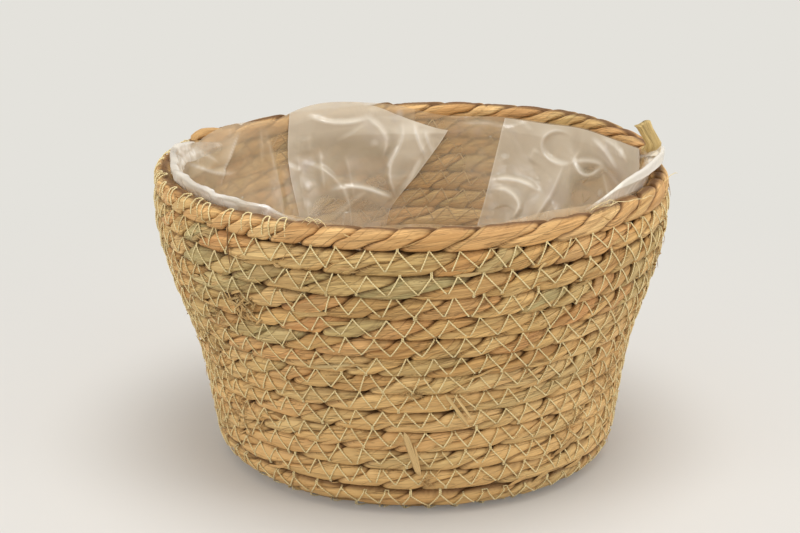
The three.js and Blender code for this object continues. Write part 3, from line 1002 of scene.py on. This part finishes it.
def rim_hair(azimuths, ups, outs, width=0.32):
    """A fine thread through points at azimuths, up and out from the rim's middle in mm."""
    share = np.linspace(0, 1, STRAND_RINGS)
    given = np.linspace(0, 1, len(azimuths))
    turned, up, out = (np.interp(share, given, values) for values in (azimuths, ups, outs))
    path = fabric(on_rim, np.radians(turned), out * MM, up * MM)
    return path, np.tile([0.1, -0.5, 1.0], (STRAND_RINGS, 1)), width * MM, HAIR_THICKNESS, 0.0, 0.2


hairs = [
    rim_hair(
        [-24, -22.6, -21.4, -20.4, -21, -22, -21.6, -20.2, -19],
        [-4, -1, 1.2, 0.6, -0.8, -0.4, 0.9, 0.2, -3],
        [2, 3, 3.4, 3.8, 4, 3.4, 3, 3.4, 4]),
    rim_hair(
        [-22.6, -20.8, -19.4, -18.4, -19, -20, -19.2, -18, -17.2],
        [-4, -0.6, 0.8, 0, -1.2, -0.8, 0.4, -1, -3.6],
        [3, 3.6, 3.8, 4, 4.2, 3.8, 3.4, 3.8, 4]),
    rim_hair(
        [40, 43, 46, 49, 52, 55, 58, 61, 64],
        [-4.2, -2.6, -3.4, -2.8, -4, -4.2, -5.4, -5.4, -7.2],
        [0, 2, 3.4, 3, 4, 4.6, 5, 5.4, 5.4]),
    rim_hair(
        [45, 45.6, 47, 48, 47, 45.8, 46.8, 48.4, 50],
        [-5, -2.4, -1.2, -2, -3.4, -2.8, -1.6, -2.6, -5],
        [0, 1, 2, 2.6, 3, 2, 1.6, 2.6, 3]),
    rim_hair([41, 43, 46], [-5, -2.6, -1.6], [0, 1, 1.4], 0.26),
    rim_hair([76, 79, 82, 83], [-7, -5.2, -5.4, -6.4], [4, 6, 8.4, 9.6], 0.4),
]
add_piece(strand_mesh("thread_ends", hairs, sides=5), needle_cream, "thread")

# The film bag
# A clear polythene bag about 0.05 mm thick, pushed into the basket and sewn into the seam under
# the rim. It lies loosely on the rope, crumpled, and is milky where it lies double.
FILM_TUCK = 3 * MM
FILM_OFF_ROPE = 0.5 * MM
FILM_BILLOW = 1.5 * MM
# Where the film stands over the rim: azimuth and half width in degrees, and height in mm.
FILM_CUFFS = [(-90, 34, 5), (-52, 36, 1), (78, 30, 4), (200, 30, 7), (234, 34, 4)]
FILM_RADIUS = 112 * MM
# A fold has a steep side and a soft one, with a thin highlight painted along it.
FOLD_HIGHLIGHT_WIDTH = 0.8 * MM
FOLD_STEEP = 1.7 * MM
FOLD_SOFT = 7 * MM
FOLD_TAPER = 0.3
EDGE_UNEVENNESS = 0.7 * MM


def waves(azimuth, height, seed, count, around, upward_rate):
    """A smooth random field on the wall, whole round it, from a few waves."""
    random = np.random.default_rng(SEED + seed)
    total = np.zeros_like(azimuth)
    for _ in range(count):
        turns = random.integers(-around, around + 1)
        rate = random.uniform(-upward_rate, upward_rate)
        total = total + np.cos(turns * azimuth + rate * height / MM + random.uniform(0, TURN))
    return total / math.sqrt(count)


def rounded(line):
    """A line through the same places with its corners cut off twice."""
    line = np.array(line, dtype=float)
    for _ in range(2):
        near, far = 0.75 * line[:-1] + 0.25 * line[1:], 0.25 * line[:-1] + 0.75 * line[1:]
        line = np.concatenate([line[:1], np.stack([near, far], 1).reshape(-1, 2), line[-1:]])
    return line


def fold_fields(azimuth, length, folds):
    """Folds in film. Each is a line through (azimuth, height) points with how far it stands up and
    how milky it is: sharp on its right-hand side, and falling away softly on its left. A thin
    highlight is painted along each line."""
    relief, milk, painted_crease = (np.zeros_like(azimuth) for _ in range(3))
    for corners, lift, whiteness in folds:
        line = rounded(corners)
        turned = np.radians([point[0] for point in line])
        y = length_at(np.array([point[1] for point in line]) * MM)
        x = (turned - turned[0]) * FILM_RADIUS
        px = np.angle(np.exp(1j * (azimuth - turned[0]))) * FILM_RADIUS
        nearest = np.full_like(azimuth, np.inf)
        side, gone = np.zeros_like(azimuth), np.zeros_like(azimuth)
        total = 0
        for k in range(len(line) - 1):
            run = np.array([x[k + 1] - x[k], y[k + 1] - y[k]])
            reach = np.hypot(*run)
            share = np.clip(((px - x[k]) * run[0] + (length - y[k]) * run[1]) / reach**2, 0, 1)
            away = np.hypot(px - x[k] - share * run[0], length - y[k] - share * run[1])
            across = (px - x[k]) * run[1] - (length - y[k]) * run[0]
            closer = away < nearest
            side = np.where(closer, np.where(across < 0, away, -away), side)
            gone = np.where(closer, total + share * reach, gone)
            nearest = np.minimum(nearest, away)
            total += reach
        taper = np.clip(np.minimum(gone, total - gone) / (FOLD_TAPER * total), 0, 1)
        taper = taper * taper * (3 - 2 * taper)
        fall = np.where(side > 0, np.exp(-side / FOLD_SOFT), np.exp(-(side / FOLD_STEEP) ** 2))
        relief = relief + lift * MM * taper * fall
        milk = milk + whiteness * taper * fall
        highlight_strength = min(1.5 * whiteness, 1)
        painted_crease = np.maximum(painted_crease, highlight_strength * taper * np.exp(-(side / FOLD_HIGHLIGHT_WIDTH) ** 2))
    return relief, milk, painted_crease


def random_folds(seed, count, azimuths, heights, longest, lift, whiteness):
    """Folds strewn over a stretch of the wall, most of them slanting."""
    random = np.random.default_rng(SEED + seed)
    folds = []
    for _ in range(count):
        azimuth, height = random.uniform(*azimuths), random.uniform(*heights)
        slant, reach = random.uniform(0, TURN), longest * random.uniform(0.3, 1)
        bend = random.uniform(-0.16, 0.16)
        line = []
        for share in (-0.5, 0, 0.5):
            turned = slant + bend * share
            line.append((
                azimuth + 0.5 * share * reach * math.cos(turned),
                height + share * reach * math.sin(turned) * 1.1,
            ))
        folds.append((line, lift * random.uniform(0.3, 1), whiteness * random.uniform(0.2, 1)))
    return folds


def film_edge(azimuth):
    """Length along the section of the film's edge, which stands over the rim in places."""
    rise = np.full_like(azimuth, -FILM_TUCK)
    for middle, half_width, height in FILM_CUFFS:
        away = np.arccos(np.clip(np.cos(azimuth - math.radians(middle)), -1, 1))
        share = np.clip(1 - away / math.radians(half_width), 0, 1)
        share = share * share * (3 - 2 * share)
        rise = np.maximum(rise, (height * MM + FILM_TUCK) * share - FILM_TUCK)
    unevenness = waves(azimuth, np.zeros_like(azimuth), 300, 4, 16, 0)
    return SECTION_LENGTH + rise + EDGE_UNEVENNESS * unevenness


# A few long folds run round and down the bag's left side, and short ones lie all round.
BAG_FOLDS = [
    ([(230, 148), (233.5, 140), (236.5, 134), (241, 126), (243, 116)], 1.3, 0.5),
    ([(263, 144), (254, 137), (247, 130), (240, 125), (232, 122)], 1.3, 0.5),
    ([(260, 147), (251, 143), (245, 138), (241, 131)], 0.9, 0.35),
    ([(270, 138), (256, 122), (250, 96)], 1.2, 0.3),
    ([(222, 146), (219, 112), (221, 78)], 1.0, 0.3),
    ([(168, 138), (160, 141), (150, 137)], 0.8, 0.3),
] + random_folds(110, 60, (0, 360), (20, 146), 40, 0.8, 0.3)

# How hazy the bag is by azimuth: most at the left, where it lies in several layers, and least at
# the front. It is clearer on the floor.
BAG_HAZE = [
    (0, 0.2), (90, 0.25), (160, 0.42), (182, 0.42), (212, 0.3), (235, 0.5), (270, 0.4), (360, 0.2),
]
FLOOR_HAZE = 0.15


def film_inward(azimuth, length):
    """How far in from the rope's inner faces the bag lies, how milky it is, and the highlights painted
    along its creases.
    """
    relief, milk, painted_crease = fold_fields(azimuth, length, BAG_FOLDS)
    on_floor = np.clip((FLOOR_LENGTH + 15 * MM - length) / (30 * MM), 0, 1)
    haze = np.interp(np.degrees(azimuth) % 360, *np.array(BAG_HAZE).T)
    milk = milk + haze + (FLOOR_HAZE - haze) * on_floor
    billow = FILM_BILLOW * np.clip(waves(azimuth, length, 200, 4, 5, 0.04) + 0.6, 0, 3)

    # It lies flatter near the middle of the floor and under the rim, where it is sewn in.
    ease = np.clip(length / (30 * MM), 0.15, 1)
    ease = ease * np.clip((SECTION_LENGTH - length) / (14 * MM), 0.25, 1)
    return FILM_OFF_ROPE + (relief + billow) * ease, milk, painted_crease


MILK_AND_HIGHLIGHT_WHITE = srgb(240, 234, 222)
PAINTED_SHEEN_PEARL = srgb(206, 196, 204)
FILM_RELIEF = 2 * MM


def film_material(name, clear, milky, tint):
    """Polythene film: hazy, milkier where it lies double, with painted highlights along its folds
    and painted glints and sheen. At its clearest it hides the share clear of what lies behind it,
    and at its milkiest the share milky."""
    material, tree, shader = new_material(name)
    milk = add_node(tree, "ShaderNodeAttribute", attribute_name="milk").outputs["Fac"]
    painted_crease = add_node(tree, "ShaderNodeAttribute", attribute_name="painted_crease").outputs["Fac"]
    place = add_node(tree, "ShaderNodeTexCoord").outputs["Object"]
    cloud = add_node(tree, "ShaderNodeTexNoise", {
        "Vector": place, "Scale": 34.0, "Detail": 3.0, "Distortion": 1.0,
    }).outputs[0]
    dimple = add_node(tree, "ShaderNodeTexVoronoi", {
        "Vector": place, "Scale": 62.0, "Randomness": 1.0,
    }, feature="F1").outputs[0]

    # Small dimples get painted glints, white in patches.
    pressed = between(tree, dimple, 0.2, 0.0)
    painted_glint = math_node(tree, "MULTIPLY", pressed, between(tree, cloud, 0.46, 0.6))

    # Cloudiness and milk make it hide more of the rope, and so do the painted highlights along its
    # creases and the painted glints on its dimples.
    haze = math_node(tree, "MULTIPLY_ADD", cloud, 0.55, math_node(tree, "MULTIPLY", milk, 0.8))
    level = add_node(tree, "ShaderNodeMapRange", {
        0: haze, 1: 0.12, 2: 1.0, 3: clear, 4: milky,
    }).outputs[0]
    level = math_node(tree, "MULTIPLY_ADD", painted_crease, 0.28, level)
    level = math_node(tree, "MULTIPLY_ADD", painted_glint, 0.3, level)
    tree.links.new(math_node(tree, "MINIMUM", level, 0.95), shader.inputs["Alpha"])

    # The painted highlights and glints make it whiter, and so does milk, and a faint pearly sheen is
    # painted into some of it.
    milk_and_painted_light = math_node(tree, "MAXIMUM", math_node(tree, "MULTIPLY", painted_crease, 0.8), painted_glint)
    milk_and_painted_light = math_node(tree, "MULTIPLY_ADD", milk, 0.35, math_node(tree, "MULTIPLY", milk_and_painted_light, 0.8))
    colour = mix_colour(tree, math_node(tree, "MINIMUM", milk_and_painted_light, 1.0), tint, MILK_AND_HIGHLIGHT_WHITE)
    painted_sheen = math_node(tree, "MULTIPLY", between(tree, cloud, 0.55, 0.72), 0.25)
    colour = mix_colour(tree, painted_sheen, colour, PAINTED_SHEEN_PEARL)
    tree.links.new(colour, shader.inputs["Base Color"])

    relief = math_node(tree, "MULTIPLY_ADD", pressed, 0.25, cloud)
    bump = add_node(tree, "ShaderNodeBump", {
        "Strength": 0.35, "Distance": FILM_RELIEF, "Height": relief,
    })
    tree.links.new(bump.outputs[0], shader.inputs["Normal"])
    shader.inputs["Roughness"].default_value = 0.2
    shader.inputs["Specular IOR Level"].default_value = 0.8
    return material


# The bag's tint is brightened as painted light, for the light that falls inside the basket.
clear_film = film_material("clear_film", clear=0.15, milky=0.62, tint=srgb(238, 211, 166))
BAG_GRID = (560, 176)


def film_sheet(name, azimuths, lengths, grid, inward):
    """A piece of film on the wall: a grid between two side edges and two edges along the section."""
    mesh, across, upward_share = grid_mesh(name, *grid)
    first, last = azimuths(upward_share)
    azimuth = first + (last - first) * across
    low, high = lengths(azimuth)
    length = low + (high - low) * upward_share
    depth, milk, painted_crease = inward(azimuth, length, across)
    set_points(mesh, fabric(length, azimuth, -(HALF_THICKNESS + depth), np.zeros_like(length)))
    set_uv(mesh, azimuth, length)
    set_level(mesh, "milk", np.clip(milk, 0, 1))
    set_level(mesh, "painted_crease", painted_crease)
    return mesh


def bag_inward(azimuth, length, across):
    """The bag's own lie, milkier where it stands over the rim and in patches on the wall."""
    depth, milk, painted_crease = film_inward(azimuth, length)
    standing = np.exp(-(np.maximum(film_edge(azimuth) - length - 5 * MM, 0) / (5 * MM)) ** 2)
    standing = standing * (film_edge(azimuth) > SECTION_LENGTH)
    patches = np.clip(length / FLOOR_LENGTH, 0, 1) * waves(azimuth, length, 400, 4, 5, 0.04)
    return depth, milk + 0.3 * standing + 0.2 * patches, painted_crease


bag_mesh = film_sheet(
    "film_bag",
    lambda share: (END_AZIMUTH + 0 * share, END_AZIMUTH + TURN + 0 * share),
    lambda azimuth: (np.full_like(azimuth, -CORE_RADIUS), film_edge(azimuth)),
    BAG_GRID, bag_inward,
)
weld(bag_mesh, fill=False)
film_bag = add_piece(bag_mesh, clear_film, "film", "film_liner")

# The doubled film on the back wall
# The bag is wider than the basket, so its slack is folded over in two broad flaps on the back
# wall. They are the same film, whitish where the layers lie on each other.
double_film = film_material("doubled_film", clear=0.12, milky=0.84, tint=srgb(234, 221, 195))
FLAP_GRID = (230, 190)
FLAP_STANDS = 0.9 * MM
FLAP_EDGE_WAVE = 0.006
BAND_BELOW_TOP = 9 * MM
BAND_HALF = 7 * MM
MILKIER_ABOVE = 115 * MM
MILK_SPREAD = 50 * MM
WINDOW_HALF_WIDTH = 11
WINDOW_HALF_HEIGHT = 17 * MM
LEFT_FLAP_FOLDS = [
    ([(205, 101), (196, 103), (184, 93)], 1.5, 0.6),
    ([(184, 92), (187, 110), (182, 128), (182, 142)], 1.2, 0.5),
    ([(184, 92), (179, 108), (176, 122)], 1.0, 0.45),
    ([(179, 141), (178, 129), (175, 114)], 1.2, 0.8),
    ([(176, 136), (175, 127), (173, 118)], 0.8, 0.6),
    ([(193, 146), (186, 132), (188, 116)], 0.9, 0.4),
    ([(212, 120), (203, 112), (198, 92), (200, 70)], 0.9, 0.25),
    ([(210, 148), (200, 140), (190, 143)], 1.1, 0.4),
]
RIGHT_FLAP_FOLDS = [
    ([(131, 139), (137, 142), (142, 136), (142, 125), (136, 120), (130, 124)], 1.2, 0.5),
    ([(129, 133), (132, 124), (126, 116), (118, 128)], 1.2, 0.65),
    ([(133, 122), (127, 127), (118, 128)], 0.8, 0.45),
    ([(158, 106), (152, 108), (146, 107), (141, 103)], 1.2, 0.55),
    ([(158, 101), (151, 102), (146, 94), (150, 84)], 1.0, 0.45),
    ([(134, 124), (137, 104), (143, 84)], 1.1, 0.4),
    ([(126, 141), (118, 136), (112, 126)], 1.1, 0.4),
    ([(122, 142), (114, 141), (106, 134)], 1.0, 0.35),
]


def flap(name, side_edges, top, foot, folds, haze, band, window, seed):
    """A flap of doubled film. Its side edges are (share of the height, first and last azimuth),
    its top is (azimuth, mm over the bag's edge), its foot is a height in mm, and its haze is by
    azimuth. It has a milky band under its top and a clearer window: azimuth and height."""
    shares, firsts, lasts = np.array(side_edges).T
    tops = np.array(top)
    own_folds = folds + random_folds(seed, 16, (firsts.min(), lasts.max()), (30, 146), 30, 0.6, 0.25)

    def edges(share):
        wave = FLAP_EDGE_WAVE * np.sin(9 * share + seed)
        return (
            np.radians(np.interp(share, shares, firsts)) + wave,
            np.radians(np.interp(share, shares, lasts)) - wave,
        )

    def lengths(azimuth):
        turned = np.degrees(azimuth)
        low = length_at((foot + 4 * waves(azimuth, azimuth * 0, seed + 1, 3, 9, 0)) * MM)
        return low, film_edge(azimuth) + np.interp(turned, tops[:, 0], tops[:, 1]) * MM

    def inward(azimuth, length, across):
        base, milk, _ = film_inward(azimuth, length)
        relief, own_milk, own_painted_crease = fold_fields(azimuth, length, own_folds)
        edge = np.clip(np.minimum(across, 1 - across) * 14, 0, 1)
        near_top = np.clip((film_edge(azimuth) - length) / (8 * MM), 0, 1)
        stand = (FLAP_STANDS + relief) * (0.35 + 0.65 * edge) * (0.35 + 0.65 * near_top)
        # A highlight is painted along its side edges.
        painted_edge_highlight = np.exp(-(np.minimum(across, 1 - across) / 0.006) ** 2)

        # It is milkier towards its top, with a band under it, and clears in the window.
        under_top = (film_edge(azimuth) - length - BAND_BELOW_TOP) / BAND_HALF
        even = 0.25 + 0.2 * waves(azimuth, length, seed + 2, 4, 7, 0.05) + 0.25 * (1 - near_top)
        even = even + np.interp(np.degrees(azimuth), *np.array(haze).T) + band * np.exp(-under_top**2)
        raised = (length - length_at(MILKIER_ABOVE)) / MILK_SPREAD
        even = even + 0.6 * np.clip(raised, -0.5, 0.4)
        aside = (np.degrees(azimuth) - window[0]) / WINDOW_HALF_WIDTH
        above = (length - length_at(window[1] * MM)) / WINDOW_HALF_HEIGHT
        even = even - np.exp(-((aside**2 + above**2) ** 2))
        return base + stand, even + 0.3 * milk + own_milk, np.maximum(own_painted_crease, 0.5 * painted_edge_highlight)

    mesh = film_sheet(name, edges, lengths, FLAP_GRID, inward)
    return add_piece(mesh, double_film, "film", "film_liner")


left_flap = flap(
    "left_film_flap",
    [(0, 196, 214), (0.5, 186, 215), (0.69, 179, 215), (0.87, 173.5, 214.5), (1, 169.5, 214)],
    top=[(169, -8.5), (180, -6.5), (184, -5), (189, -2), (194, 0)], foot=30, folds=LEFT_FLAP_FOLDS,
    haze=[(170, 0.1), (214, 0.1)], band=0.55, window=(200, 78), seed=500)
right_flap = flap(
    "right_film_flap", [(0, 102, 163), (0.47, 101, 160), (1, 99, 153.5)],
    top=[(98, -0.5), (160, -0.5)], foot=26, folds=RIGHT_FLAP_FOLDS,
    haze=[(102, -0.05), (122, -0.05), (130, 0.05), (138, 0.2)], band=0.1, window=(120, 112), seed=600)

# The film's cuffs
# At the left and at the right of the rim the film's edge stands up behind the rim course and is
# folded over inwards, so that it shows as a whitish band.
cuff_film = film_material("cuff_film", clear=0.05, milky=0.88, tint=srgb(220, 211, 194))
CUFF_GRID = (260, 54)
CUFF_TURN_RADIUS = 0.9 * MM
CUFF_OFF_ROPE = 0.4 * MM
CUFF_FREE_FROM = 7 * MM


def cuff(name, edge, fall, over_rope, crinkle, spread, milkiness, seed):
    """A band of film that rises behind the rim, turns over at its top and falls inside. Its edge
    is (azimuth, mm over the rim's middle), it leans out over the rope by (azimuth, mm), and its
    inner side falls by some mm and spreads away from the outer one."""
    turned, heights = np.array(edge, dtype=float).T
    mesh, across, travel = grid_mesh(name, *CUFF_GRID)
    degrees = turned[0] + (turned[-1] - turned[0]) * across
    azimuth = np.radians(degrees)
    rise = sum(np.interp(degrees + k, turned, heights) for k in range(-3, 4)) / 7
    rise = (rise + 0.45 * crinkle * waves(azimuth, azimuth * 0, seed, 5, 36, 0)) * MM
    ends = np.clip(4 * np.minimum(across, 1 - across), 0, 1)
    start = np.minimum((-4 - 10 * ends) * MM, rise - 1 * MM)
    outer = rise - start
    turn_length = math.pi * CUFF_TURN_RADIUS
    fall_length = fall * MM * (0.3 + 0.7 * np.clip((rise / MM + 5) / 8, 0, 1))
    gone = travel * (outer + turn_length + fall_length)
    angle = np.clip((gone - outer) / CUFF_TURN_RADIUS, 0, math.pi)
    over_top = rise + CUFF_TURN_RADIUS * np.sin(angle)
    falling = rise - (gone - outer - turn_length)
    up = np.where(gone < outer, start + gone, np.where(gone < outer + turn_length, over_top, falling))
    inward = np.where(gone < outer, 0, CUFF_TURN_RADIUS * (1 - np.cos(angle)))
    folds = random_folds(seed + 1, 46, (turned[0], turned[-1]), (134, 156), 22, 0.9 * crinkle, 0.5)
    relief, milk, painted_crease = fold_fields(azimuth, SECTION_LENGTH + up - 2 * inward, folds)
    free = np.clip((up + CUFF_FREE_FROM) / CUFF_FREE_FROM, 0, 1)
    lean = 0.8 * crinkle * MM * waves(azimuth, up, seed + 7, 4, 26, 0.09) * free
    lean = lean + np.interp(degrees, *np.array(over_rope, dtype=float).T) * MM * free**2
    opened = spread * np.clip(2 * gone / (outer + fall_length) - 1, 0, 1)
    depth = CUFF_OFF_ROPE + inward * (1 + opened) + relief * free - lean
    set_points(mesh, fabric(np.full_like(up, SECTION_LENGTH), azimuth, -(HALF_THICKNESS + depth), up))
    set_uv(mesh, azimuth, up)
    milk = ends * (milkiness + milk + 0.3 * waves(azimuth, up, seed + 3, 4, 20, 0.1))
    set_level(mesh, "milk", np.clip(milk, 0, 1))
    set_level(mesh, "painted_crease", painted_crease)
    return add_piece(mesh, cuff_film, "film", "film_liner")


left_cuff = cuff(
    "left_film_cuff",
    [(-119, -4), (-110, -0.5), (-103, 3), (-96, 5), (-90, 5.5), (-80, 4.6), (-70, 3.4),
     (-62, 2.4), (-54, 2), (-46, 1.8), (-40, 1.4), (-34, 0), (-25, -5)],
    fall=9, over_rope=[(-119, 0), (-100, 1.6), (-75, 2.6), (-40, 2.4), (-25, 1)], crinkle=1.2,
    spread=1.4, milkiness=0.55, seed=700)
right_cuff = cuff(
    "right_film_cuff",
    [(43, -7), (48, -3.4), (54, 0.4), (62, 2.8), (72, 4), (80, 4.4), (87, 4), (92, 2), (97, -6)],
    fall=4, over_rope=[(43, 1.5), (56, 2.5), (66, 4), (78, 6.5), (88, 8.5), (97, 8)],
    crinkle=0.25, spread=0.1, milkiness=1.2, seed=800)

# The floor and the light
# A pale seamless table, a large soft light from above and in front, a weaker one on each side and
# an even pale surround. Away from the basket the table fades into the same even pale tone.
TABLE_GREY = srgb(211, 208, 203)
BACKDROP = srgb(228, 226, 220)
TABLE_SIZE = 8
floor_material, floor_tree, floor_shader = new_material("pale_table")
floor_shader.inputs["Base Color"].default_value = TABLE_GREY
floor_shader.inputs["Roughness"].default_value = 0.8
floor_shader.inputs["Specular IOR Level"].default_value = 0.1

# Only the camera sees it fade, straight or in a reflection: the light that the table throws back
# at the basket stays that of the lamps.
seen = add_node(floor_tree, "ShaderNodeLightPath")
seen_share = math_node(
    floor_tree, "MAXIMUM", seen.outputs["Is Camera Ray"],
    math_node(floor_tree, "MAXIMUM", seen.outputs["Is Glossy Ray"], seen.outputs["Is Transmission Ray"]))
spread_place = add_node(floor_tree, "ShaderNodeTexCoord").outputs["Object"]
from_basket = add_node(
    floor_tree, "ShaderNodeVectorMath", {0: spread_place}, operation="LENGTH").outputs["Value"]
even_share = add_node(floor_tree, "ShaderNodeMapRange", {
    0: from_basket, 1: 0.14, 2: 0.5, 3: 0.12, 4: 1.0,
}).outputs[0]
even_light = add_node(floor_tree, "ShaderNodeEmission", {0: BACKDROP, 1: 1.0}).outputs[0]
mixed = math_node(floor_tree, "MULTIPLY", seen_share, even_share)
table_mix = add_node(floor_tree, "ShaderNodeMixShader", {
    0: mixed, 1: floor_shader.outputs[0], 2: even_light,
}).outputs[0]
floor_tree.links.new(table_mix, floor_tree.nodes["Material Output"].inputs["Surface"])
floor_mesh, _, _ = grid_mesh("table", 1, 1)
floor_mesh.transform(Matrix.Scale(TABLE_SIZE, 4))
floor_mesh.materials.append(floor_material)
table = bpy.data.objects.new("table", floor_mesh)
bpy.context.collection.objects.link(table)

world = bpy.data.worlds.new("surround")
bpy.context.scene.world = world
world.use_nodes = True
surround = world.node_tree.nodes["Background"]
surround.inputs["Color"].default_value = (1, 0.985, 0.965, 1)
surround.inputs["Strength"].default_value = 0.7

LIGHTS_AIM = Vector((0, 0, 0.06))


def soft_light(name, place, size, power):
    """A round soft light that looks at the middle of the basket."""
    light = bpy.data.lights.new(name, "AREA")
    light.shape = "DISK"
    light.size = size
    light.energy = power
    lamp = bpy.data.objects.new(name, light)
    lamp.location = place
    lamp.rotation_euler = (LIGHTS_AIM - Vector(place)).to_track_quat("-Z", "Y").to_euler()
    bpy.context.collection.objects.link(lamp)


soft_light("overhead_softbox", (0.1, -0.15, 1.5), size=0.9, power=12.5)
soft_light("left_fill", (-1.3, -0.65, 0.4), size=0.7, power=6)
soft_light("right_fill", (1.35, -0.6, 0.4), size=0.7, power=6.5)
